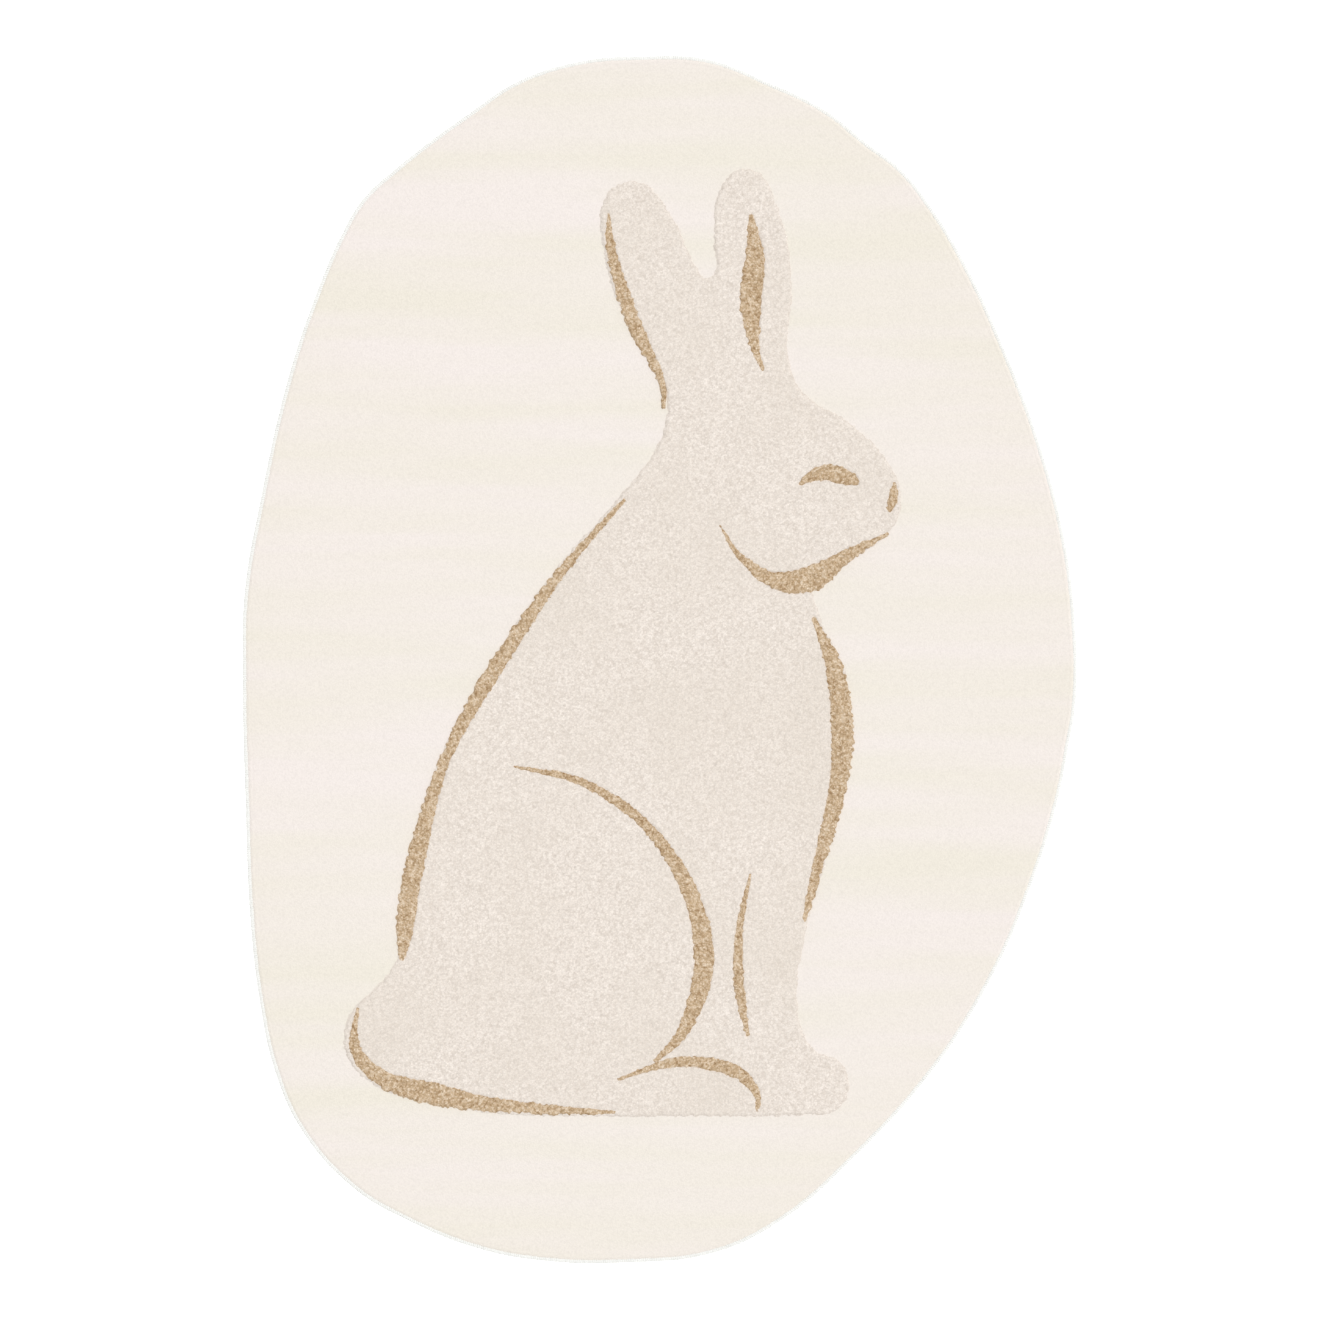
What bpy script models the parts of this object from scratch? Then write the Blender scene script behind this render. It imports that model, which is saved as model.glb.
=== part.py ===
"""A flat pile rug in an uneven pebble outline, with a raised animal figure and an overlocked edge."""
import bmesh
import bpy
from mathutils import Vector

MM = 0.001

# Heights, measured up from the surface that the rug lies on.
GROUND_HEIGHT = 9.0 * MM       # top of the low cut pile
FIGURE_HEIGHT = 12.0 * MM      # top of the longer pile of the figure
FIGURE_ROOT = 4.0 * MM         # where the figure's own block starts, well inside the ground
PILE_ROUND = 2.0 * MM          # rounding of the pile where it ends at the overlocked edge
FIGURE_ROUND = 2.4 * MM        # rounding of the figure's long pile at its outline

# Overlocked edge: yarn sewn round the carpet's cut rim, which is a thin tongue of backing.
EDGE_WIDTH = 7.0 * MM          # how far the yarn reaches in from the rug's outline
EDGE_HEIGHT = 7.4 * MM
EDGE_ROUND = 2.8 * MM
YARN_THICKNESS = 1.6 * MM      # over, under and outside the tongue
SEAT_GAP = 0.3 * MM            # between the yarn and the carpet, all round

CURVE_STEPS = 4                # straight pieces between two points of an outline
ROUND_STEPS = 1                # extra facets in each rounded edge
CUT_OVERSHOOT = 2.0 * MM       # how far a cutter runs past the faces that it cuts
WELD_DISTANCE = 0.00001
SMOOTH_ANGLE = 0.6             # radians, edges under this are shaded smooth

# Rug outline, clockwise from the top. Columns: x, y, in millimetres from the rug's middle.
RUG_OUTLINE = (
    (-28, 849), (68, 845), (152, 813), (237, 771), (288, 730), (341, 689), (377, 645),
    (430, 558), (487, 434), (534, 308), (568, 181), (585, 55), (586, -63),
    (577, -117), (561, -198), (521, -325), (466, -451), (386, -577), (271, -704),
    (174, -788), (77, -835), (-49, -849), (-156, -847), (-252, -830), (-357, -788),
    (-428, -746), (-504, -662), (-542, -577), (-562, -486), (-576, -367), (-583, -198),
    (-587, -29), (-584, 97), (-562, 223), (-524, 392), (-482, 518), (-445, 603),
    (-420, 645), (-376, 687), (-265, 771), (-199, 814), (-112, 842),
)

# Outline of the raised figure, a sitting hare seen from its right side.
# Clockwise from the toe of the front paw. Columns: x, y, in millimetres from the rug's middle.
FIGURE_OUTLINE = (
    (200, -640), (70, -642), (-80, -642), (-230, -638), (-330, -622), (-398, -600),
    (-440, -556), (-436, -500), (-398, -460), (-370, -420), (-358, -300), (-310, -140),
    (-232, 5), (-140, 135), (-52, 235), (2, 312), (8, 380), (-44, 468),
    (-78, 570), (-76, 650), (-34, 672), (16, 626), (52, 552), (68, 536),
    (76, 590), (86, 664), (126, 690), (168, 630), (186, 520), (182, 420),
    (204, 374), (268, 332), (322, 276), (340, 222), (318, 174), (256, 136),
    (218, 108), (224, 66), (262, -20), (270, -130), (240, -262), (204, -390),
    (196, -500), (218, -548), (256, -568), (266, -606), (246, -634),
)

CARPET_NAME = "carpet"
EDGE_NAME = "overlocked_edge"
PARTS_COLLECTION = "kids_rug"
CUTTERS_COLLECTION = "cutters"

# Colours are linear red, green and blue.
CREAM_PILE = {"name": "cream_cut_pile", "color": (0.913, 0.855, 0.783), "roughness": 0.95}
GREIGE_PILE = {"name": "greige_curled_pile", "color": (0.839, 0.768, 0.694), "roughness": 0.97}
EDGE_YARN = {"name": "off_white_edge_yarn", "color": (0.863, 0.840, 0.785), "roughness": 0.88}


def clear_scene():
    for obj in list(bpy.data.objects):
        bpy.data.objects.remove(obj, do_unlink=True)


def new_collection(name):
    collection = bpy.data.collections.new(name)
    bpy.context.scene.collection.children.link(collection)
    return collection


def yarn_material(name, color, roughness):
    material = bpy.data.materials.new(name)
    material.use_nodes = True
    shader = material.node_tree.nodes["Principled BSDF"]
    shader.inputs["Base Color"].default_value = (*color, 1.0)
    shader.inputs["Roughness"].default_value = roughness
    shader.inputs["Metallic"].default_value = 0.0
    material.diffuse_color = (*color, 1.0)
    return material


def outline_curve(name, outline, inset, bottom, top, rounding):
    """A flat outline as thick as bottom to top, drawn in from its edge by inset."""
    curve = bpy.data.curves.new(name, type="CURVE")
    curve.dimensions = "2D"
    curve.fill_mode = "BOTH"
    curve.resolution_u = CURVE_STEPS
    curve.extrude = (top - bottom) / 2 - rounding
    curve.bevel_depth = rounding
    curve.bevel_resolution = ROUND_STEPS
    curve.offset = -(inset + rounding)
    spline = curve.splines.new("BEZIER")
    spline.bezier_points.add(len(outline) - 1)
    for point, (x, y) in zip(spline.bezier_points, outline):
        point.co = (x * MM, y * MM, 0.0)
        point.handle_left_type = "AUTO"
        point.handle_right_type = "AUTO"
    spline.use_cyclic_u = True
    obj = bpy.data.objects.new(name, curve)
    obj.location = Vector((0.0, 0.0, (bottom + top) / 2))
    return obj


def solid_from_curve(curve_object, name, collection, material=None):
    """The curve's evaluated shape as a closed mesh object, in the curve's place."""
    collection.objects.link(curve_object)
    bpy.context.view_layer.update()
    depsgraph = bpy.context.evaluated_depsgraph_get()
    mesh = bpy.data.meshes.new_from_object(curve_object.evaluated_get(depsgraph))
    mesh.name = name
    place = curve_object.matrix_world.copy()
    bpy.data.objects.remove(curve_object, do_unlink=True)

    shape = bmesh.new()
    shape.from_mesh(mesh)
    bmesh.ops.remove_doubles(shape, verts=shape.verts, dist=WELD_DISTANCE)
    bmesh.ops.recalc_face_normals(shape, faces=shape.faces)
    shape.to_mesh(mesh)
    shape.free()

    mesh.materials.clear()
    if material:
        mesh.materials.append(material)
    solid = bpy.data.objects.new(name, mesh)
    solid.matrix_world = place
    collection.objects.link(solid)
    return solid


def block(name, outline, collection, bottom, top, inset=0.0, rounding=0.0, material=None):
    curve_object = outline_curve(name + "_outline", outline, inset, bottom, top, rounding)
    return solid_from_curve(curve_object, name, collection, material)


def hide_guide(obj):
    obj.hide_render = True
    obj.display_type = "WIRE"


def add_boolean(target, tool, operation):
    modifier = target.modifiers.new(operation.lower() + "_" + tool.name, "BOOLEAN")
    modifier.operation = operation
    modifier.solver = "EXACT"
    modifier.material_mode = "TRANSFER"
    modifier.object = tool
    hide_guide(tool)


def shade(obj):
    """Smooth shading over the rounded edges, sharp at the flat faces."""
    obj.data.shade_smooth()
    obj.data.set_sharp_from_angle(angle=SMOOTH_ANGLE)


def make_carpet(parts, cutters):
    """Backing and pile in one piece: the ground, its thin rim and the figure's longer pile."""
    cream = yarn_material(**CREAM_PILE)
    greige = yarn_material(**GREIGE_PILE)
    carpet = block(
        CARPET_NAME, RUG_OUTLINE, parts, bottom=0.0, top=GROUND_HEIGHT,
        inset=EDGE_WIDTH + SEAT_GAP, rounding=PILE_ROUND, material=cream)
    rim = block(
        "rim_tongue", RUG_OUTLINE, cutters,
        bottom=YARN_THICKNESS + SEAT_GAP,
        top=EDGE_HEIGHT - YARN_THICKNESS - SEAT_GAP,
        inset=YARN_THICKNESS + SEAT_GAP, material=cream)
    figure = block(
        "figure_pile", FIGURE_OUTLINE, cutters, bottom=FIGURE_ROOT, top=FIGURE_HEIGHT,
        rounding=FIGURE_ROUND, material=greige)
    add_boolean(carpet, rim, "UNION")
    add_boolean(carpet, figure, "UNION")
    shade(carpet)
    return carpet


def make_overlocked_edge(parts, cutters):
    """A closed band of yarn with a slot on its inner side, where the carpet's rim lies."""
    edge = block(
        EDGE_NAME, RUG_OUTLINE, parts, bottom=0.0, top=EDGE_HEIGHT,
        rounding=EDGE_ROUND, material=yarn_material(**EDGE_YARN))
    middle = block(
        "edge_inside", RUG_OUTLINE, cutters,
        bottom=-CUT_OVERSHOOT, top=EDGE_HEIGHT + CUT_OVERSHOOT, inset=EDGE_WIDTH)
    slot = block(
        "rim_slot", RUG_OUTLINE, cutters,
        bottom=YARN_THICKNESS, top=EDGE_HEIGHT - YARN_THICKNESS, inset=YARN_THICKNESS)
    add_boolean(edge, middle, "DIFFERENCE")
    add_boolean(edge, slot, "DIFFERENCE")
    shade(edge)
    return edge


def main():
    clear_scene()
    parts = new_collection(PARTS_COLLECTION)
    cutters = new_collection(CUTTERS_COLLECTION)
    make_carpet(parts, cutters)
    make_overlocked_edge(parts, cutters)


main()
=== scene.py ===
import math

import bmesh
import bpy
import numpy as np
from mathutils import Matrix, Vector


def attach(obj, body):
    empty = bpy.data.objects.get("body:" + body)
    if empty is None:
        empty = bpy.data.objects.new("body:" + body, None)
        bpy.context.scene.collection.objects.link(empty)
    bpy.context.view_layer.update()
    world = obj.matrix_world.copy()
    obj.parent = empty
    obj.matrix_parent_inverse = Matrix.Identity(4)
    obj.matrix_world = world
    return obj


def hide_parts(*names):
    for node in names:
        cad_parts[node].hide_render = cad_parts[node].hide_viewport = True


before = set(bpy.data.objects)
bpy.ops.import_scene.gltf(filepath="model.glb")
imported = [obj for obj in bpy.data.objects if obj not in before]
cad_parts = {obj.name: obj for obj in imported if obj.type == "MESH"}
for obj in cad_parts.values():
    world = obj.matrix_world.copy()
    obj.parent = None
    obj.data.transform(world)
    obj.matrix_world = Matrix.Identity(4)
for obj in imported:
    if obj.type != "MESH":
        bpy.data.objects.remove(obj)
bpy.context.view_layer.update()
print("frame loaded:", ", ".join(sorted(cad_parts)))

mm = 0.001

photo = {
    "pixels": 1320,               # its width and its height
    "pixelSize": 1.405 * mm,      # the rug is 1210 pixels long in the photo, and 1.70 m long
    "middle": (0.7 * mm, -0.7 * mm),
    "height": 4.0,                # m, of the camera over the floor
    "sensor": 36.0,               # mm
}

light = {
    "world": 0.68,                # strength of the plain white all round
    "sun": 1.6,                   # and of the window
    "sunAngle": 40.0,             # degrees, a wide soft box over the rug's upper right
    "sunTravels": (-0.30, -0.20, -1.0),
}


def makeCamera(s, subjectHeight):
    data = bpy.data.cameras.new("overheadCamera")
    data.sensor_fit = "HORIZONTAL"
    data.sensor_width = s["sensor"]
    data.lens = s["sensor"] * (s["height"] - subjectHeight) / (s["pixels"] * s["pixelSize"])
    camera = bpy.data.objects.new("overheadCamera", data)
    camera.location = (*s["middle"], s["height"])  # unturned, it looks straight down
    bpy.context.collection.objects.link(camera)
    bpy.context.scene.camera = camera


def makeLight(s):
    world = bpy.data.worlds.new("softStudio")
    world.use_nodes = True
    background = world.node_tree.nodes["Background"]
    background.inputs["Color"].default_value = (1.0, 1.0, 1.0, 1.0)
    background.inputs["Strength"].default_value = s["world"]
    bpy.context.scene.world = world
    data = bpy.data.lights.new("windowLight", "SUN")
    data.energy = s["sun"]
    data.angle = math.radians(s["sunAngle"])
    sun = bpy.data.objects.new("windowLight", data)
    sun.rotation_mode = "QUATERNION"
    sun.rotation_quaternion = Vector(s["sunTravels"]).to_track_quat("-Z", "Y")
    bpy.context.collection.objects.link(sun)
    # the plain view: pale pile keeps the colour it is given
    bpy.context.scene.view_settings.view_transform = "Standard"


def linearColor(hexColor):
    # sRGB hex to the linear colour that the shaders take
    channels = [int(hexColor[i:i + 2], 16) / 255 for i in (1, 3, 5)]
    return tuple(c / 12.92 if c <= 0.04045 else ((c + 0.055) / 1.055) ** 2.4 for c in channels) + (1.0,)


def addNode(tree, kind, settings=None, inputs=None):
    node = tree.nodes.new(kind)
    for key, value in (settings or {}).items():
        setattr(node, key, value)
    for key, value in (inputs or {}).items():
        if isinstance(value, bpy.types.NodeSocket):
            tree.links.new(value, node.inputs[key])
        else:
            node.inputs[key].default_value = value
    return node


def linked(name, data):
    obj = bpy.data.objects.new(name, data)
    bpy.context.collection.objects.link(obj)
    return obj


outlineSteps = 6  # straight pieces between two points of an outline


def outlineCurve(name, points, inset=0.0, low=0.0, high=0.0, fill="BOTH"):
    # a flat closed curve through the points (millimetres), thick from low to high
    curve = bpy.data.curves.new(name, "CURVE")
    curve.dimensions = "2D"
    curve.fill_mode = fill
    curve.resolution_u = outlineSteps
    curve.extrude = (high - low) / 2
    curve.offset = -inset
    spline = curve.splines.new("BEZIER")
    spline.bezier_points.add(len(points) - 1)
    for knot, (x, y) in zip(spline.bezier_points, points):
        knot.co = (x * mm, y * mm, 0.0)
        knot.handle_left_type = "AUTO"
        knot.handle_right_type = "AUTO"
    spline.use_cyclic_u = True
    obj = linked(name, curve)
    obj.location.z = (low + high) / 2
    return obj


weldReach = 0.01 * mm  # corners nearer than this are one


def toMesh(name, source, weld=True):
    # the evaluated shape as a plain mesh, its place in the mesh and its object at the origin
    bpy.context.view_layer.update()
    depsgraph = bpy.context.evaluated_depsgraph_get()
    mesh = bpy.data.meshes.new_from_object(source.evaluated_get(depsgraph))
    mesh.transform(source.matrix_world)
    bpy.data.objects.remove(source, do_unlink=True)
    mesh.name = name
    mesh.materials.clear()
    if weld:
        bm = bmesh.new()
        bm.from_mesh(mesh)
        bmesh.ops.remove_doubles(bm, verts=bm.verts, dist=weldReach)
        bmesh.ops.recalc_face_normals(bm, faces=bm.faces)
        bm.to_mesh(mesh)
        bm.free()
    mesh.shade_smooth()
    return linked(name, mesh)


def meshPlaces(mesh):
    places = np.zeros(len(mesh.vertices) * 3)
    mesh.vertices.foreach_get("co", places)
    return places.reshape(-1, 3)


topView = {
    "lean": 0.35,                 # seen a little slanted, so that upright faces have some width
    "margin": 0.005,              # of the map's side
}


def addTopMap(piece, s):
    # a map of the piece seen from above
    mesh = piece.data
    places = meshPlaces(mesh)
    flat = places[:, :2] + s["lean"] * places[:, 2:3]
    flat = (flat - flat.min(axis=0)) / np.ptp(flat, axis=0).max()
    corners = np.zeros(len(mesh.loops), dtype=np.int32)
    mesh.loops.foreach_get("vertex_index", corners)
    layer = mesh.uv_layers.new(name="OFBake")
    layer.data.foreach_set("uv", (s["margin"] + (1 - 2 * s["margin"]) * flat[corners]).ravel())


def finishPiece(piece, material, topMap=True):
    piece.data.materials.append(material)
    if topMap:
        addTopMap(piece, topView)
    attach(piece, "root")
    piece.data.calc_loop_triangles()
    print(piece.name, len(piece.data.loop_triangles), "triangles")


# columns: x, y in millimetres from the rug's middle, clockwise
rugOutline = (
    (-28, 849), (68, 845), (152, 813), (237, 771), (288, 730), (341, 689), (377, 645),
    (430, 558), (487, 434), (534, 308), (568, 181), (585, 55), (586, -63),
    (577, -117), (561, -198), (521, -325), (466, -451), (386, -577), (271, -704),
    (174, -788), (77, -835), (-49, -849), (-156, -847), (-252, -830), (-357, -788),
    (-428, -746), (-504, -662), (-542, -577), (-562, -486), (-576, -367), (-583, -198),
    (-587, -29), (-584, 97), (-562, 223), (-524, 392), (-482, 518), (-445, 603),
    (-420, 645), (-376, 687), (-265, 771), (-199, 814), (-112, 842),
)

# columns: x, y in millimetres, clockwise from the toe of the front paw
hareOutline = (
    (200, -640), (70, -642), (-80, -642), (-230, -638), (-330, -622), (-398, -600),
    (-440, -556), (-436, -500), (-398, -460), (-370, -420), (-358, -300), (-310, -140),
    (-232, 5), (-140, 135), (-52, 235), (2, 312), (8, 380), (-44, 468),
    (-78, 570), (-76, 650), (-34, 672), (16, 626), (52, 552), (68, 536),
    (76, 590), (86, 664), (126, 690), (168, 630), (186, 520), (182, 420),
    (204, 374), (268, 332), (322, 276), (340, 222), (318, 174), (256, 136),
    (218, 108), (224, 66), (262, -20), (270, -130), (240, -262), (204, -390),
    (196, -500), (218, -548), (256, -568), (266, -606), (246, -634),
)

# tan lines, columns: x, y and the line's width there, in millimetres
hareLines = {
    "back": (
        (-48, 226, 8), (-138, 122, 16), (-226, -6, 24), (-302, -144, 18), (-346, -300, 30),
        (-357, -380, 26), (-362, -424, 10)),
    "tail": (
        (-424, -488, 6), (-428, -545, 18), (-390, -588, 26), (-322, -609, 34),
        (-232, -625, 22), (-130, -633, 14), (-60, -636, 6)),
    "haunch": (
        (-206, -150, 6), (-110, -172, 14), (-20, -232, 18), (44, -330, 26), (62, -430, 32),
        (34, -520, 20), (-8, -566, 8)),
    "hindFoot": ((-60, -590, 6), (20, -566, 16), (96, -574, 22), (134, -604, 14), (138, -636, 8)),
    "frontLeg": ((128, -300, 6), (112, -380, 14), (112, -460, 18), (124, -530, 8)),
    "chest": (
        (216, 60, 8), (244, -10, 26), (256, -90, 34), (250, -180, 28), (222, -290, 18),
        (202, -370, 8)),
    "cheek": (
        (322, 178, 6), (262, 146, 20), (214, 114, 40), (160, 112, 26), (112, 146, 12), (84, 190, 5)),
    "eye": ((196, 246, 8), (226, 262, 24), (262, 256, 26), (280, 246, 8)),
    "nearEar": ((128, 626, 8), (134, 566, 30), (128, 500, 34), (134, 440, 16), (146, 404, 6)),
    "farEar": ((-72, 628, 6), (-66, 566, 18), (-36, 474, 22), (2, 394, 12), (6, 352, 6)),
    "nose": ((330, 250, 6), (328, 226, 18), (322, 206, 10)),
}


def outlineCorners(points):
    # the smooth outline as a ring of corners, x and y in metres
    ring = toMesh("ring", outlineCurve("ring", points, fill="NONE"), weld=False)
    corners = np.array([v.co.xy for v in ring.data.vertices])
    bpy.data.objects.remove(ring, do_unlink=True)
    return corners


def smoothLine(rows, step):
    # x, y and width in metres at even steps, along a Catmull-Rom curve through the rows
    knots = np.array(rows) * mm
    padded = np.vstack([2 * knots[0] - knots[1], knots, 2 * knots[-1] - knots[-2]])
    runs = []
    for a, b, c, d in zip(padded, padded[1:], padded[2:], padded[3:]):
        count = max(2, math.ceil(math.dist(b[:2], c[:2]) / step))
        t = np.linspace(0.0, 1.0, count, endpoint=False)[:, None]
        runs.append(
            b + t * (c - a) / 2 + t ** 2 * (a - 2.5 * b + 2 * c - d / 2)
            + t ** 3 * (3 * b - a - 3 * c + d) / 2)
    return np.vstack([*runs, knots[-1:]])


def leftOf(line):
    # the unit direction to the left at each place along a line, which may run round to its start
    closed = np.allclose(line[0], line[-1])
    padded = np.vstack([line[-2:-1], line, line[1:2]]) if closed else line
    along = np.gradient(padded, axis=0)[1:-1] if closed else np.gradient(line, axis=0)
    along /= np.hypot(along[:, 0], along[:, 1])[:, None]
    return np.stack([-along[:, 1], along[:, 0]], axis=1)


def lineDepth(places, line):
    # how deep each place lies inside a line of changing width, negative beside it
    best = np.full(len(places), -np.inf)
    for a, b in zip(line, line[1:]):
        side = (b - a)[:2]
        share = np.clip((places - a[:2]) @ side / (side @ side), 0.0, 1.0)
        away = places - a[:2] - share[:, None] * side
        depth = (a[2] + share * (b[2] - a[2])) / 2 - np.hypot(away[:, 0], away[:, 1])
        best = np.maximum(best, depth)
    return best


def insideDistance(places, ring):
    # distance of each place to the outline, positive inside it, and the nearest point there
    best = np.full(len(places), np.inf)
    nearest = np.zeros_like(places)
    inside = np.zeros(len(places), dtype=bool)
    for a, b in zip(ring, np.roll(ring, -1, axis=0)):
        side = b - a
        share = np.clip((places - a) @ side / (side @ side), 0.0, 1.0)
        foot = a + share[:, None] * side
        gap = np.hypot(places[:, 0] - foot[:, 0], places[:, 1] - foot[:, 1])
        closer = gap < best
        best[closer] = gap[closer]
        nearest[closer] = foot[closer]
        spans = (a[1] > places[:, 1]) != (b[1] > places[:, 1])
        if spans.any():
            crossing = a[0] + (places[:, 1] - a[1]) * side[0] / side[1]
            inside ^= spans & (places[:, 0] < crossing)
    return np.where(inside, best, -best), nearest


fibre = {"ior": 1.49, "sheenRoughness": 0.5}  # polypropylene, spun and a little fuzzy


def yarnShader(name, s):
    # a matt yarn surface: a Principled shader with the sheen and roughness of its fibre
    material = bpy.data.materials.new(name)
    material.use_nodes = True
    tree = material.node_tree
    shader = tree.nodes["Principled BSDF"]
    shader.inputs["Roughness"].default_value = s["roughness"]
    shader.inputs["IOR"].default_value = fibre["ior"]
    shader.inputs["Specular IOR Level"].default_value = s["specular"]
    shader.inputs["Sheen Weight"].default_value = s["sheen"]
    shader.inputs["Sheen Roughness"].default_value = fibre["sheenRoughness"]
    return material, tree, shader


cutPile = {
    # reads as a shorn velvet: level and matt, with only faint bands
    "cool": "#E8E0DB", "warm": "#E4DED2",      # the two tones of its soft bands: partly tint, partly painted shade
    "roughness": 0.96, "specular": 0.15, "sheen": 0.06,
    "bandLength": 900.0, "bandPitch": 75.0,    # mm, bands left where the pile was rolled and lies otherwise
    "bandFrom": 0.35, "bandTo": 0.65,          # where the bands' noise is all cool, and all warm
    "grain": 3.4, "tip": 2.2,                  # mm, a cluster of tufts and one tuft, coarse enough to show
    "round": 0.3, "dip": -0.8,                 # of a tuft: how soft its sides are and how deep it falls
    "low": -0.3, "high": 0.4,                  # the relief down between two tufts and on their tips
    # painted shade down between two tufts and painted light on their tips, as factors on the colour
    "gapShade": 0.95, "tipLight": 1.03,
    "bump": 0.45, "bumpDepth": 0.5,            # its strength, and mm
}


def cutPileMaterial(s):
    # heat-set polypropylene, shorn level: very even and matt, with faint bands across that are partly
    # painted shade, and painted shade and light on its tufts
    material, tree, shader = yarnShader("shornPolypropylenePile", s)
    place = addNode(tree, "ShaderNodeTexCoord").outputs["Object"]
    squeeze = addNode(tree, "ShaderNodeMapping", inputs={
        "Vector": place, "Scale": (1 / (s["bandLength"] * mm), 1 / (s["bandPitch"] * mm), 0.0)})
    bands = addNode(tree, "ShaderNodeTexNoise", inputs={
        "Vector": squeeze.outputs[0], "Scale": 1.0, "Detail": 3.0, "Roughness": 0.55})
    spread = addNode(tree, "ShaderNodeMapRange", inputs={
        "Value": bands.outputs["Fac"], "From Min": s["bandFrom"], "From Max": s["bandTo"]})
    # the bands' two tones: partly a faint tint, partly painted shade where the rolled pile lies otherwise
    ground = addNode(tree, "ShaderNodeMix", {"data_type": "RGBA"}, {
        0: spread.outputs[0], 6: linearColor(s["cool"]), 7: linearColor(s["warm"])})
    grain = addNode(tree, "ShaderNodeTexNoise", inputs={
        "Vector": place, "Scale": 1 / (s["grain"] * mm), "Detail": 2.0})
    tips = addNode(tree, "ShaderNodeTexVoronoi", {"feature": "SMOOTH_F1"}, {
        "Vector": place, "Scale": 1 / (s["tip"] * mm), "Smoothness": s["round"]})
    dips = addNode(tree, "ShaderNodeMath", {"operation": "MULTIPLY"}, {
        0: tips.outputs["Distance"], 1: s["dip"]})
    relief = addNode(tree, "ShaderNodeMath", {"operation": "ADD"}, {
        0: dips.outputs[0], 1: grain.outputs["Fac"]})
    # painted shade between the tufts and painted light on their tips, from the same relief as the bump
    shade = addNode(tree, "ShaderNodeMapRange", inputs={
        "Value": relief.outputs[0], "From Min": s["low"], "From Max": s["high"],
        "To Min": s["gapShade"], "To Max": s["tipLight"]})
    color = addNode(tree, "ShaderNodeMix", {"data_type": "RGBA", "blend_type": "MULTIPLY"}, {
        0: 1.0, 6: ground.outputs[2], 7: shade.outputs[0]})
    bump = addNode(tree, "ShaderNodeBump", inputs={
        "Height": relief.outputs[0], "Strength": s["bump"], "Distance": s["bumpDepth"] * mm})
    tree.links.new(color.outputs[2], shader.inputs["Base Color"])
    tree.links.new(bump.outputs[0], shader.inputs["Normal"])
    return material


curledPile = {
    # reads as soft wool: small pale curls, each a little lighter or darker than the next
    "dark": "#DDD2C7", "light": "#FDF4EB", "roughness": 0.97, "specular": 0.12, "sheen": 0.05,
    "patch": 160.0, "patchDark": "#E8DED2",    # mm, broad soft patches
    "patchFrom": 0.4, "patchTo": 0.7, "patchShare": 0.5,
    # the last of these is the painted shade down between two curls
    "strand": 2.2, "relief": 0.7, "mottle": 0.65, "hollowShade": 0.15,
}

tanPile = {
    # reads as heather yarn: sandy and brown ends mixed
    "dark": "#9F7D56", "middle": "#D6BB99", "light": "#FBE9D2",
    "roughness": 0.96, "specular": 0.15, "sheen": 0.05, "strand": 2.0, "relief": 0.9, "mottle": 0.55,
    # painted shade down between two curls
    "hollowShade": 0.22,
}

edgeYarn = {
    # reads as plied sewing yarn: whiter and tighter than the pile
    "dark": "#EBEBE7", "light": "#F2F2EF", "roughness": 0.86, "specular": 0.25, "sheen": 0.05,
    # the last of these is the painted shade down between two curls
    "strand": 0.9, "relief": 0.2, "mottle": 0.25, "hollowShade": 0.03,
}

curl = {
    # what all the yarns have alike; a curl of pile is drawn 2 mm wide, coarser than real, so that it shows
    "round": 0.35,                             # how softly one curl runs into the next
    "fibres": 4.0,                             # across a curl
    "low": -0.3, "high": 0.5,                  # the relief down between two curls and on top of them
    "bumpDepth": 0.6,                          # mm
}


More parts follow.
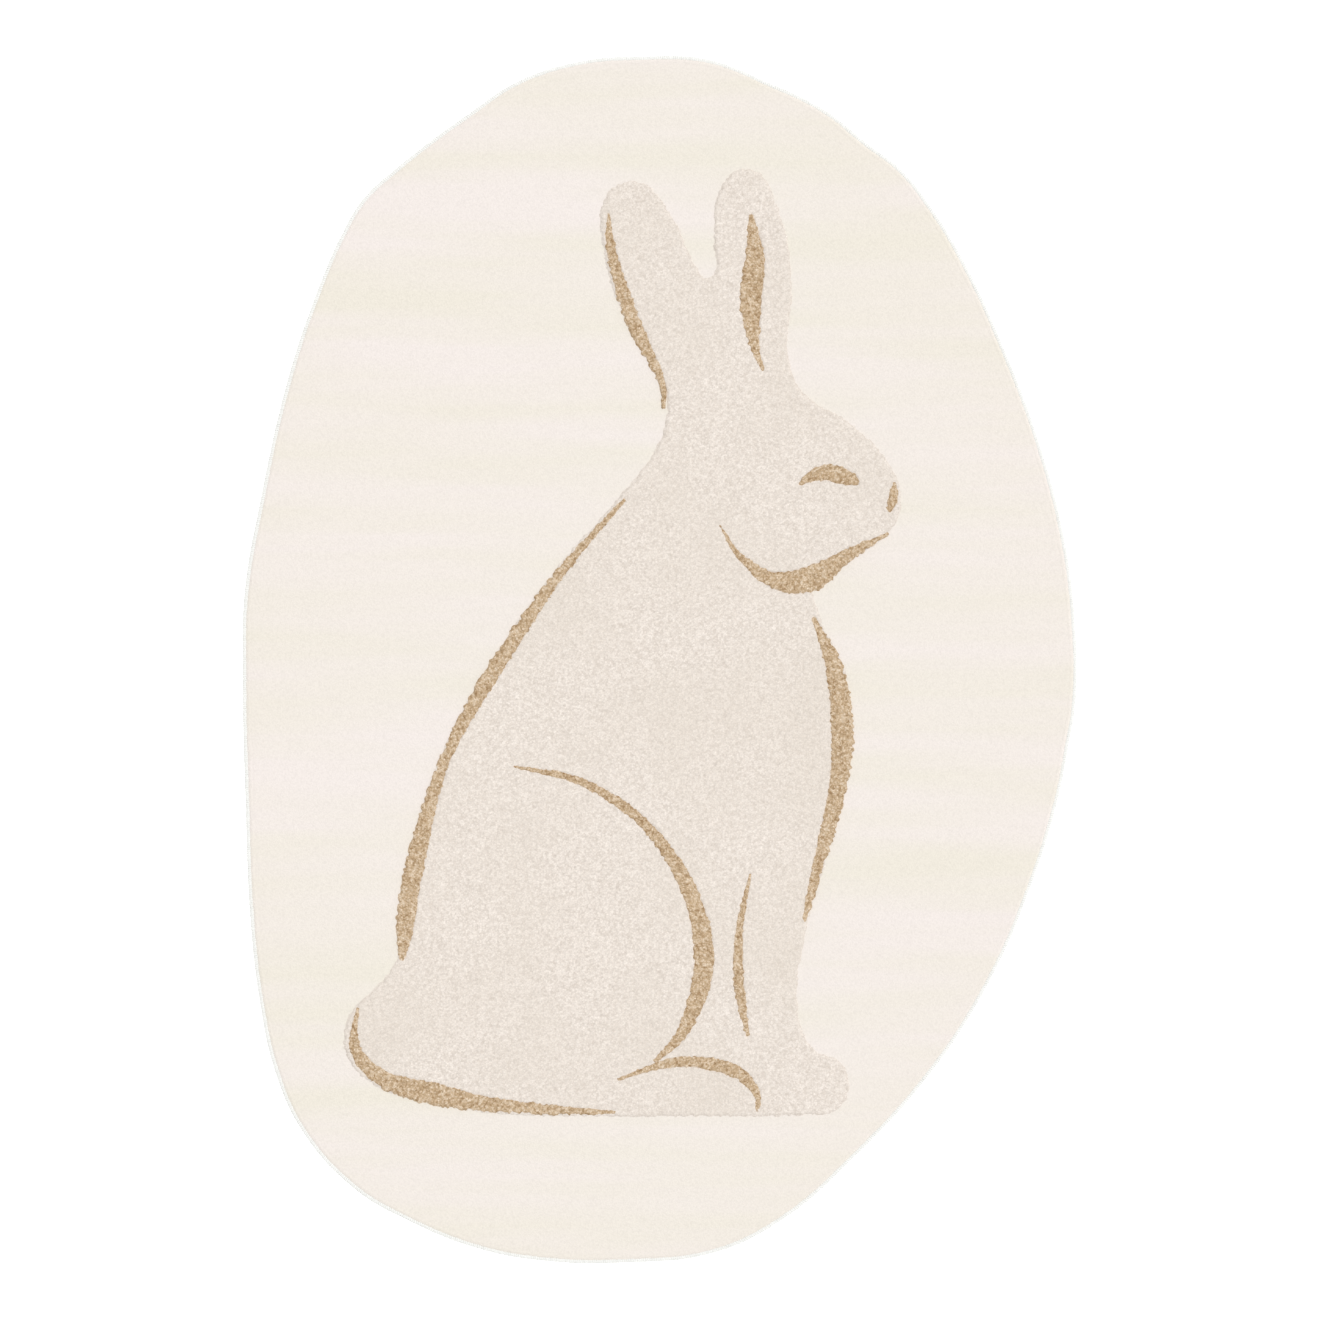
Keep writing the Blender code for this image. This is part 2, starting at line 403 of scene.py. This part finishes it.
def curledMaterial(name, s):
    # loose yarn: every yarn end has its own tint, from the attribute that it was given
    material, tree, shader = yarnShader(name, s)
    place = addNode(tree, "ShaderNodeTexCoord").outputs["Object"]
    tint = addNode(tree, "ShaderNodeAttribute", {"attribute_name": "tint"})
    curls = addNode(tree, "ShaderNodeTexVoronoi", {"feature": "SMOOTH_F1"}, {
        "Vector": place, "Scale": 1 / (s["strand"] * mm), "Smoothness": curl["round"]})
    curlParts = addNode(tree, "ShaderNodeSeparateColor", inputs={0: curls.outputs["Color"]})
    share = addNode(tree, "ShaderNodeMix", inputs={
        0: s["mottle"], 2: tint.outputs["Fac"], 3: curlParts.outputs[0]})
    ramp = addNode(tree, "ShaderNodeValToRGB", inputs={0: share.outputs[0]})
    ramp.color_ramp.elements[0].color = linearColor(s["dark"])
    ramp.color_ramp.elements[1].color = linearColor(s["light"])
    if "middle" in s:
        ramp.color_ramp.elements.new(0.5).color = linearColor(s["middle"])
    color = ramp.outputs[0]
    if "patch" in s:
        patches = addNode(tree, "ShaderNodeTexNoise", inputs={
            "Vector": place, "Scale": 1 / (s["patch"] * mm), "Detail": 2.0})
        amount = addNode(tree, "ShaderNodeMapRange", inputs={
            "Value": patches.outputs["Fac"], "From Min": s["patchFrom"], "From Max": s["patchTo"],
            "To Max": s["patchShare"]})
        color = addNode(tree, "ShaderNodeMix", {"data_type": "RGBA"}, {
            0: amount.outputs[0], 6: color, 7: linearColor(s["patchDark"])}).outputs[2]

    # every curl is round and its fibres are rough, and painted shade darkens it down between two curls
    fibres = addNode(tree, "ShaderNodeTexNoise", inputs={
        "Vector": place, "Scale": curl["fibres"] / (s["strand"] * mm), "Detail": 2.0})
    relief = addNode(tree, "ShaderNodeMath", {"operation": "SUBTRACT"}, {
        0: fibres.outputs["Fac"], 1: curls.outputs["Distance"]})
    shade = addNode(tree, "ShaderNodeMapRange", inputs={
        "Value": relief.outputs[0], "From Min": curl["low"], "From Max": curl["high"],
        "To Min": 1.0 - s["hollowShade"], "To Max": 1.0})
    shaded = addNode(tree, "ShaderNodeMix", {"data_type": "RGBA", "blend_type": "MULTIPLY"}, {
        0: 1.0, 6: color, 7: shade.outputs[0]})
    bump = addNode(tree, "ShaderNodeBump", inputs={
        "Height": relief.outputs[0], "Strength": s["relief"], "Distance": curl["bumpDepth"] * mm})
    tree.links.new(shaded.outputs[2], shader.inputs["Base Color"])
    tree.links.new(bump.outputs[0], shader.inputs["Normal"])
    return material


wovenCloth = {
    # reads as dry sacking: beige threads, each over one and under the next, with painted shade down their
    # sides into the gaps
    "warp": "#D6CBB9", "weft": "#C9BAA1", "gap": "#8F8068",
    "roughness": 0.92, "specular": 0.2, "sheen": 0.02,
    "pitch": 2.6,                              # mm between the threads
    "stray": 0.6,                              # how far a thread strays, in radians of its wave
    "bump": 0.6, "bumpDepth": 0.5,             # its strength, and mm
}


def wovenMaterial(s):
    # jute and polypropylene threads, plain woven and sized: a dry even cloth, natural beige
    material, tree, shader = yarnShader("wovenJuteBacking", s)
    place = addNode(tree, "ShaderNodeTexCoord").outputs["Object"]
    # a wave texture repeats every 2 pi / 20 of its scaled place
    scale = math.pi / 10 / (s["pitch"] * mm)
    warp, weft = (
        addNode(tree, "ShaderNodeTexWave", {"bands_direction": axis}, {
            "Vector": place, "Scale": scale, "Distortion": s["stray"], "Detail": 1.0, "Detail Scale": 2.0})
        for axis in ("X", "Y"))
    crossings = addNode(tree, "ShaderNodeMapping", inputs={
        "Vector": place, "Scale": (1 / (s["pitch"] * mm), 1 / (s["pitch"] * mm), 0.0)})
    over = addNode(tree, "ShaderNodeTexChecker", inputs={"Vector": crossings.outputs[0], "Scale": 1.0})
    cloth = addNode(tree, "ShaderNodeMix", inputs={
        0: over.outputs["Fac"], 2: weft.outputs["Fac"], 3: warp.outputs["Fac"]})
    thread = addNode(tree, "ShaderNodeMix", {"data_type": "RGBA"}, {
        0: over.outputs["Fac"], 6: linearColor(s["weft"]), 7: linearColor(s["warp"])})
    # painted shade: each thread darkens down its round sides to the gap colour between the threads
    color = addNode(tree, "ShaderNodeMix", {"data_type": "RGBA"}, {
        0: cloth.outputs[0], 6: linearColor(s["gap"]), 7: thread.outputs[2]})
    bump = addNode(tree, "ShaderNodeBump", inputs={
        "Height": cloth.outputs[0], "Strength": s["bump"], "Distance": s["bumpDepth"] * mm})
    tree.links.new(color.outputs[2], shader.inputs["Base Color"])
    tree.links.new(bump.outputs[0], shader.inputs["Normal"])
    return material


backing = {
    "rimInset": 1.9 * mm,         # the sewing yarn covers this much outside the cloth's cut edge
    "rimLow": 1.9 * mm,           # the rim lies on the yarn that runs under it
    "facesDown": -0.5,            # faces whose direction is lower than this are the underside
    "top": 5.5 * mm,
    "ramp": 4.6 * mm,             # over this much the cloth comes down to the floor
    "sharp": 35.0,                # degrees, steeper edges stay sharp
    "flat": (1.177, 1.700),
    "cutArea": 1.53,
}


def makeBacking(s):
    curve = outlineCurve("backing", rugOutline, s["rimInset"], s["rimLow"], s["top"])
    piece = toMesh("wovenBacking", curve)
    bm = bmesh.new()
    bm.from_mesh(piece.data)
    underside = [f for f in bm.faces if f.normal.z < s["facesDown"]]
    bmesh.ops.inset_region(bm, faces=underside, thickness=s["ramp"], use_even_offset=True)
    lowered = list({v for f in underside for v in f.verts})
    bmesh.ops.translate(bm, verts=lowered, vec=(0.0, 0.0, -s["rimLow"]))
    bm.to_mesh(piece.data)
    bm.free()
    piece.data.set_sharp_from_angle(angle=math.radians(s["sharp"]))
    finishPiece(piece, wovenMaterial(wovenCloth), topMap=False)
    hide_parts("carpet")
    return piece


wrap = {
    "pitch": 3.0 * mm,            # from one turn of yarn to the next
    "halfWidth": 1.75 * mm,       # the yarn lies pressed flat
    "halfThickness": 0.6 * mm,
    "height": 7.4 * mm,
    "reach": 7.2 * mm,            # how far in over the cloth it is sewn
    "slant": 0.16,                # sideways run of the yarn for each millimetre inwards
    "sides": 6,                   # flat sides of the yarn's section
    "bends": 5,                   # steps of its half turn round the rim
    "weld": 0.001 * mm,
    "smallest": (0.97, 0.94, 0.98), "largest": (1.03, 1.06, 1.0),   # one turn to another
    "tintSeed": 5,
}


def makeYarnTurn(s):
    # one turn of yarn: a pressed round section, run out, spun half round the rim and run back
    radius = s["height"] / 2 - s["halfThickness"]
    run = s["reach"] - s["height"] / 2
    bm = bmesh.new()
    section = bmesh.ops.create_circle(bm, cap_ends=True, segments=s["sides"], radius=1.0)
    press = Matrix.Diagonal((1.0, s["halfWidth"], s["halfThickness"], 1.0))
    stand = Matrix.Rotation(math.radians(90), 4, "Y")
    place = Matrix.Translation((s["reach"], 0.0, radius))
    bmesh.ops.transform(bm, verts=section["verts"], matrix=place @ press @ stand)
    face = list(bm.faces)
    out = bmesh.ops.extrude_face_region(bm, geom=face)["geom"]
    moved = [g for g in out if isinstance(g, bmesh.types.BMVert)]
    bmesh.ops.translate(bm, verts=moved, vec=(-run, 0.0, 0.0))
    cap = [g for g in out if isinstance(g, bmesh.types.BMFace)]
    centre = (s["height"] / 2, 0.0, 0.0)
    bent = bmesh.ops.spin(
        bm, geom=cap, cent=centre, axis=(0.0, 1.0, 0.0), angle=-math.pi, steps=s["bends"])
    bmesh.ops.delete(bm, geom=cap, context="FACES_ONLY")
    cap = [g for g in bent["geom_last"] if isinstance(g, bmesh.types.BMFace)]
    back = bmesh.ops.extrude_face_region(bm, geom=cap)["geom"]
    moved = [g for g in back if isinstance(g, bmesh.types.BMVert)]
    bmesh.ops.translate(bm, verts=moved, vec=(run, 0.0, 0.0))
    bmesh.ops.delete(bm, geom=cap, context="FACES_ONLY")
    for v in bm.verts:
        v.co.y += s["slant"] * v.co.x * (1 if v.co.z > 0 else -1)
        v.co.z += s["height"] / 2
    bmesh.ops.remove_doubles(bm, verts=bm.verts, dist=s["weld"])
    bmesh.ops.recalc_face_normals(bm, faces=bm.faces)
    mesh = bpy.data.meshes.new("yarnTurn")
    bm.to_mesh(mesh)
    bm.free()
    mesh.shade_smooth()
    return linked("yarnTurn", mesh)


def makeEdge(s):
    turn = makeYarnTurn(s)
    rim = outlineCurve("rim", rugOutline, fill="NONE")
    tree = bpy.data.node_groups.new("sewRoundTheRim", "GeometryNodeTree")
    tree.interface.new_socket("Geometry", in_out="INPUT", socket_type="NodeSocketGeometry")
    tree.interface.new_socket("Geometry", in_out="OUTPUT", socket_type="NodeSocketGeometry")
    start = addNode(tree, "NodeGroupInput")
    stitches = addNode(tree, "GeometryNodeCurveToPoints", {"mode": "LENGTH"}, {
        "Curve": start.outputs[0], "Length": s["pitch"]})
    along = addNode(tree, "FunctionNodeAlignRotationToVector", {"axis": "Y", "pivot_axis": "Z"}, {
        "Vector": stitches.outputs["Tangent"]})
    yarn = addNode(tree, "GeometryNodeObjectInfo", inputs={"Object": turn})
    size = addNode(tree, "FunctionNodeRandomValue", {"data_type": "FLOAT_VECTOR"}, {
        0: s["smallest"], 1: s["largest"]})
    sewn = addNode(tree, "GeometryNodeInstanceOnPoints", inputs={
        "Points": stitches.outputs["Points"], "Instance": yarn.outputs["Geometry"],
        "Rotation": along.outputs[0], "Scale": size.outputs[0]})
    tint = addNode(tree, "FunctionNodeRandomValue", {"data_type": "FLOAT"}, {8: s["tintSeed"]})
    tinted = addNode(tree, "GeometryNodeStoreNamedAttribute", {"domain": "INSTANCE"}, {
        "Geometry": sewn.outputs[0], "Name": "tint", "Value": tint.outputs[1]})
    real = addNode(tree, "GeometryNodeRealizeInstances", inputs={0: tinted.outputs[0]})
    addNode(tree, "NodeGroupOutput", inputs={0: real.outputs[0]})
    rim.modifiers.new("sewing", "NODES").node_group = tree
    piece = toMesh("overlockingYarn", rim, weld=False)
    bpy.data.objects.remove(turn, do_unlink=True)
    finishPiece(piece, curledMaterial("spunPolypropyleneYarn", edgeYarn), topMap=False)
    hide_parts("overlocked_edge")
    return piece


# pile is a skin of small cells, raised a little at every yarn end and rolled off at its rim
skin = {
    # in cells: corners no further outside the outline stay, and those this near are drawn onto it
    "spare": 0.35, "drawn": 1.1,
    "domeReach": 0.75,            # how far a yarn end's dome reaches, in its own squares
    "nudge": 0.3,                 # and over how much of a square a ragged rim is rounded off
}


def clippedGrid(name, ring, s, unused):
    # flat square cells inside an outline, the outer ones drawn onto a line inset from it
    low, high = ring.min(axis=0), ring.max(axis=0)
    counts = [math.ceil(side / s["cell"]) for side in high - low]
    middle = Matrix.Translation((*(low + high) / 2, 0.0))
    spread = Matrix.Diagonal((counts[0] * s["cell"] / 2, counts[1] * s["cell"] / 2, 1.0, 1.0))
    bm = bmesh.new()
    bmesh.ops.create_grid(
        bm, x_segments=counts[0], y_segments=counts[1], size=1.0, matrix=middle @ spread)
    places = np.array([v.co.xy for v in bm.verts])
    gone = insideDistance(places, ring)[0] < s["inset"] - skin["spare"] * s["cell"]
    gone |= unused(places)
    bmesh.ops.delete(bm, geom=[v for v, out in zip(bm.verts, gone) if out], context="VERTS")
    rimVerts = [v for v in bm.verts if v.is_boundary]
    inside, feet = insideDistance(np.array([v.co.xy for v in rimVerts]), ring)
    rag = ragAt(feet, s)
    for v, gap, foot, aside in zip(rimVerts, inside, feet, rag):
        if gap < s["inset"] + skin["drawn"] * s["cell"]:
            inwards = (v.co.xy - Vector(foot)).normalized() * (1 if gap > 0 else -1)
            v.co.xy = Vector(foot) + inwards * (s["inset"] + aside)
    mesh = bpy.data.meshes.new(name)
    bm.to_mesh(mesh)
    bm.free()
    return mesh


def ragAt(places, s):
    # how far the rim strays at each place: single yarn ends, in or out, rounded off a little
    nudge = skin["nudge"] * s["ragPitch"]
    nudges = nudge * np.array([(0, 0), (1, 0), (-1, 0), (0, 1), (0, -1)])
    spots = np.concatenate([places + aside for aside in nudges])
    tint = yarnEnds(spots, {**s, "curl": s["ragPitch"]})[1].reshape(len(nudges), -1)
    return s["rag"] * (2 * tint.mean(axis=0) - 1)


def ribbon(name, line, near, far, columns):
    # a flat strip along a line, each row of its cells reaching from near to far, left of the line
    bm = bmesh.new()
    bmesh.ops.create_grid(
        bm, x_segments=len(line) - 1, y_segments=columns, size=0.5,
        matrix=Matrix.Translation((0.5, 0.5, 0.0)))
    mesh = bpy.data.meshes.new(name)
    bm.to_mesh(mesh)
    bm.free()
    places = meshPlaces(mesh)
    row = np.rint(places[:, 0] * (len(line) - 1)).astype(int)
    aside = near[row] + (far[row] - near[row]) * places[:, 1]
    places[:, :2] = line[row] + aside[:, None] * leftOf(line)[row]
    mesh.vertices.foreach_set("co", places.ravel())
    return mesh, row, aside


def yarnEnds(places, s):
    # every yarn end is a dome somewhere in its own square: the height there, and that end's tint
    rng = np.random.default_rng(s["seed"])
    squares = np.floor(places / s["curl"]).astype(int)
    first = squares.min(axis=0) - 1
    squares -= first
    counts = squares.max(axis=0) + 2
    spots = rng.random((*counts, 2))
    lifts = rng.uniform(-1.0, 1.0, counts)
    tints = rng.random(counts)
    best = np.full(len(places), np.inf)
    lift, tint = np.zeros(len(places)), np.zeros(len(places))
    for across in (-1, 0, 1):
        for up in (-1, 0, 1):
            i, j = squares[:, 0] + across, squares[:, 1] + up
            middles = (np.stack([i, j], axis=1) + first + spots[i, j]) * s["curl"]
            gap = np.hypot(*(places - middles).T) / s["curl"]
            closer = gap < best
            best[closer] = gap[closer]
            lift[closer] = lifts[i, j][closer]
            tint[closer] = tints[i, j][closer]
    dome = 1.0 - np.clip(best / skin["domeReach"], 0.0, 1.0) ** 2
    return s["dome"] * dome + s["uneven"] * lift, tint


def raisePile(mesh, depth, s, lower=0.0):
    # stands a flat mesh up by how deep each place lies inside the rim, less what is lowered
    places = meshPlaces(mesh)
    share = 1.0 - (1.0 - np.clip(depth / s["rollOff"], 0.0, 1.0)) ** 2
    bumps, tint = yarnEnds(places[:, :2], s)
    places[:, 2] = s["low"] + share * (s["top"] - s["low"] + bumps) - lower
    mesh.vertices.foreach_set("co", places.ravel())
    mesh.attributes.new("tint", "FLOAT", "POINT").data.foreach_set("value", tint)
    mesh.shade_smooth()


swell = {
    # soft waves that are left from the roll
    "depth": 0.2 * mm, "pitch": 0.21,          # m, from one wave to the next up the rug
    "wander": 0.03, "wanders": 5.0,            # m that a wave wanders, and radians a metre across
    "fadeAcross": 1.7, "fadeUp": 4.0,          # radians a metre, over which the waves come and go
}


def swellAt(places, s):
    # how far the ground lies lower at each place
    x, y = places[:, 0], places[:, 1]
    wave = np.sin(2 * np.pi * (y + s["wander"] * np.sin(s["wanders"] * x)) / s["pitch"])
    return s["depth"] * (1 - wave * np.cos(s["fadeAcross"] * x + s["fadeUp"] * y)) / 2


ground = {
    "cell": 3.6 * mm, "inset": 9.6 * mm, "rag": 0.0, "ragPitch": 5.0 * mm,
    "low": 8.4 * mm, "top": 8.9 * mm, "rollOff": 3.0 * mm,
    "curl": 5.0 * mm, "dome": 0.1 * mm, "uneven": 0.05 * mm, "seed": 11,
    "underFigure": 9.0 * mm,      # it runs this far under the figure's longer pile
}


def makeGround(s, rugRing, hareRing):
    mesh = clippedGrid(
        "shornGround", rugRing, s,
        lambda places: insideDistance(places, hareRing)[0] > s["underFigure"])
    places = meshPlaces(mesh)[:, :2]
    depth = insideDistance(places, rugRing)[0] - s["inset"]
    raisePile(mesh, depth, s, lower=swellAt(places, swell))
    piece = linked("shornGround", mesh)
    finishPiece(piece, cutPileMaterial(cutPile))
    return piece


# the ground's last centimetre, in finer cells, bends down over the sewing yarn
rim = {
    "cell": 1.5 * mm, "columns": 6,
    "outer": 5.7 * mm, "inner": 14.5 * mm, "rag": 0.5 * mm, "ragPitch": 2.6 * mm,
    "low": 6.8 * mm, "top": 8.85 * mm, "rollOff": 4.5 * mm,
    "curl": 2.6 * mm, "dome": 0.35 * mm, "uneven": 0.12 * mm, "seed": 31,
    "tuckFrom": 10.5 * mm, "tuck": 0.7 * mm,   # its inner side dips under the ground's surface
}


def makeRim(s, rugRing):
    corners = np.vstack([rugRing, rugRing[:1]])
    run = np.concatenate([[0.0], np.cumsum(np.hypot(*np.diff(corners, axis=0).T))])
    even = np.linspace(0.0, run[-1], round(run[-1] / s["cell"]))
    line = np.stack([np.interp(even, run, corners[:, axis]) for axis in (0, 1)], axis=1)
    rag = ragAt(line, s)
    inner = np.full(len(line), -s["inner"])
    mesh, row, aside = ribbon("creamRim", line, inner, rag - s["outer"], s["columns"])
    inset = -aside
    tuck = np.clip((inset - s["tuckFrom"]) / (s["inner"] - s["tuckFrom"]), 0.0, 1.0)
    lower = swellAt(meshPlaces(mesh)[:, :2], swell) + s["tuck"] * tuck
    raisePile(mesh, inset - s["outer"] + rag[row], s, lower)
    piece = toMesh("creamRim", linked("creamRimStrip", mesh))
    finishPiece(piece, cutPileMaterial(cutPile))
    return piece


greigeField = {
    "cell": 1.7 * mm, "inset": 0.0, "rag": 1.8 * mm, "ragPitch": 4.0 * mm,
    "low": 8.4 * mm, "top": 10.9 * mm, "rollOff": 5.0 * mm,
    "curl": 3.8 * mm, "dome": 1.2 * mm, "uneven": 0.25 * mm, "seed": 3,
    "dipFrom": 1.2 * mm, "dipOver": 2.0 * mm, "dip": 2.0 * mm,   # it lies lower under a tan line
    "openFrom": 5.0 * mm,         # and is left open in the middle of a wide one
    "lineStride": 6,              # every sixth place along a tan line is near enough for that
    "splitY": -0.150,             # two pieces, parted at this height
}

tanField = {
    "cell": 1.7 * mm, "rag": 2.6 * mm, "ragPitch": 4.0 * mm, "trim": 0.2 * mm,
    "low": 8.3 * mm, "top": 11.2 * mm, "rollOff": 2.4 * mm,
    "curl": 3.4 * mm, "dome": 1.3 * mm, "uneven": 0.35 * mm, "seed": 21,
    "steady": 3.0,                # where half a line's width is under this many rags, it strays less
}


def makeTanField(s, lines):
    # every tan line is a strip of its own width, and they are joined to one piece
    bm = bmesh.new()
    depths = []
    for line in lines:
        middle, half = line[:, :2], line[:, 2] / 2 - s["trim"]
        out = half[:, None] * leftOf(middle)
        sway = np.minimum(1.0, half / (s["steady"] * s["rag"]))
        right = half + sway * ragAt(middle - out, s)
        left = half + sway * ragAt(middle + out, s)
        columns = math.ceil(2 * half.mean() / s["cell"])
        mesh, row, aside = ribbon("strip", middle, -right, left, columns)
        run = np.concatenate([[0.0], np.cumsum(np.hypot(*np.diff(middle, axis=0).T))])
        toEnd = np.minimum(run, run[-1] - run)[row]
        depths.append(np.minimum.reduce([toEnd, aside + right[row], left[row] - aside]))
        bm.from_mesh(mesh)
        bpy.data.meshes.remove(mesh)
    mesh = bpy.data.meshes.new("tanLines")
    bm.to_mesh(mesh)
    bm.free()
    raisePile(mesh, np.concatenate(depths), s)
    return linked("tanLines", mesh)


def makeGreigeField(s, ring, lines):
    def depthUnderTan(places):
        return np.max([lineDepth(places, line[::s["lineStride"]]) for line in lines], axis=0)

    mesh = clippedGrid(
        "greigePile", ring, s, lambda places: depthUnderTan(places) > s["openFrom"])
    places = meshPlaces(mesh)[:, :2]
    dip = np.clip((depthUnderTan(places) - s["dipFrom"]) / s["dipOver"], 0.0, 1.0)
    inside, feet = insideDistance(places, ring)
    raisePile(mesh, inside - ragAt(feet, s), s, lower=s["dip"] * dip)
    return linked("greigePile", mesh)


def halfOf(name, whole, splitY, upper):
    # the faces above or below one height on the rug
    bm = bmesh.new()
    bm.from_mesh(whole.data)
    others = [f for f in bm.faces if (f.calc_center_median().y > splitY) != upper]
    bmesh.ops.delete(bm, geom=others, context="FACES")
    mesh = bpy.data.meshes.new(name)
    bm.to_mesh(mesh)
    bm.free()
    return linked(name, mesh)


def makeFigure(ring):
    greige = curledMaterial("curledGreigePolypropylene", curledPile)
    tan = curledMaterial("curledTanPolypropylene", tanPile)
    lines = [smoothLine(rows, tanField["cell"]) for rows in hareLines.values()]
    tanPiece = makeTanField(tanField, lines)
    whole = makeGreigeField(greigeField, ring, lines)
    upper = halfOf("greigePileUpper", whole, greigeField["splitY"], True)
    lower = halfOf("greigePileLower", whole, greigeField["splitY"], False)
    bpy.data.objects.remove(whole, do_unlink=True)
    for piece in (upper, lower):
        finishPiece(piece, greige)
    finishPiece(tanPiece, tan)
    return [upper, lower, tanPiece]


paper = {
    # reads as plain studio paper: white, matt and without any pattern
    "color": "#F4F4F4", "roughness": 0.9, "specular": 0.1,
    "glow": 0.8,                  # lifts it to the plain white of a cut-out photo
    "half": 20.0,                 # m, from its middle to its sides
    "drop": 0.3 * mm,             # it lies this far under the rug, so the two faces don't flicker
}


def makeFloor(s):
    bm = bmesh.new()
    bmesh.ops.create_grid(bm, x_segments=1, y_segments=1, size=s["half"])
    bmesh.ops.translate(bm, verts=bm.verts, vec=(0.0, 0.0, -s["drop"]))
    mesh = bpy.data.meshes.new("paleFloor")
    bm.to_mesh(mesh)
    bm.free()
    floor = linked("paleFloor", mesh)
    material = bpy.data.materials.new("mattWhiteStudioPaper")
    material.use_nodes = True
    shader = material.node_tree.nodes["Principled BSDF"]
    shader.inputs["Base Color"].default_value = linearColor(s["color"])
    shader.inputs["Roughness"].default_value = s["roughness"]
    shader.inputs["Specular IOR Level"].default_value = s["specular"]
    shader.inputs["Emission Color"].default_value = (1.0, 1.0, 1.0, 1.0)
    shader.inputs["Emission Strength"].default_value = s["glow"]
    mesh.materials.append(material)


makeCamera(photo, ground["top"])
makeLight(light)
makeFloor(paper)
print("camera, light and floor made")

rugRing = outlineCorners(rugOutline)
hareRing = outlineCorners(hareOutline)
backingPiece = makeBacking(backing)
edgePiece = makeEdge(wrap)
groundPiece = makeGround(ground, rugRing, hareRing)
rimPiece = makeRim(rim, rugRing)
figurePieces = makeFigure(hareRing)
print("rug made")
